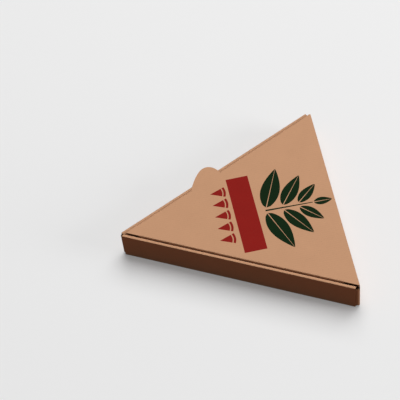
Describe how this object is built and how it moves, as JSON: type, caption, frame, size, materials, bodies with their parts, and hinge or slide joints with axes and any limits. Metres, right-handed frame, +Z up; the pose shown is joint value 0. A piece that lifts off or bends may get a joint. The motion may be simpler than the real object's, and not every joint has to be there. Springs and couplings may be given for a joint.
{
  "type": "pizza slice box",
  "caption": "Flat wedge-shaped corrugated carton for one pizza slice: a tray with rolled double side walls and a rear-hinged lid with tuck flaps and a thumb tab.",
  "frame": {"origin": "on the underside of the tray's base, at the centroid of its triangle", "axes": "+X along the rear wall, +Y from the pointed tip towards the rear wall, +Z up out of the lid"},
  "size_m": [0.2306, 0.2168, 0.032],
  "materials": {
    "tray_kraft": "uncoated brown kraft, matt",
    "lid_kraft": "uncoated brown kraft, matt, printed on the lid in red and dark green"
  },
  "bodies": {
    "tray": {"tray": "tray_kraft"},
    "lid": {"lid": "lid_kraft"}
  },
  "joints": [
    {"name": "lid_hinge", "type": "hinge", "parent": "tray", "child": "lid", "pos_m": [0, 0.07362, 0.03065], "axis": [-1, 0, 0], "range_deg": [0, 180]}
  ]
}
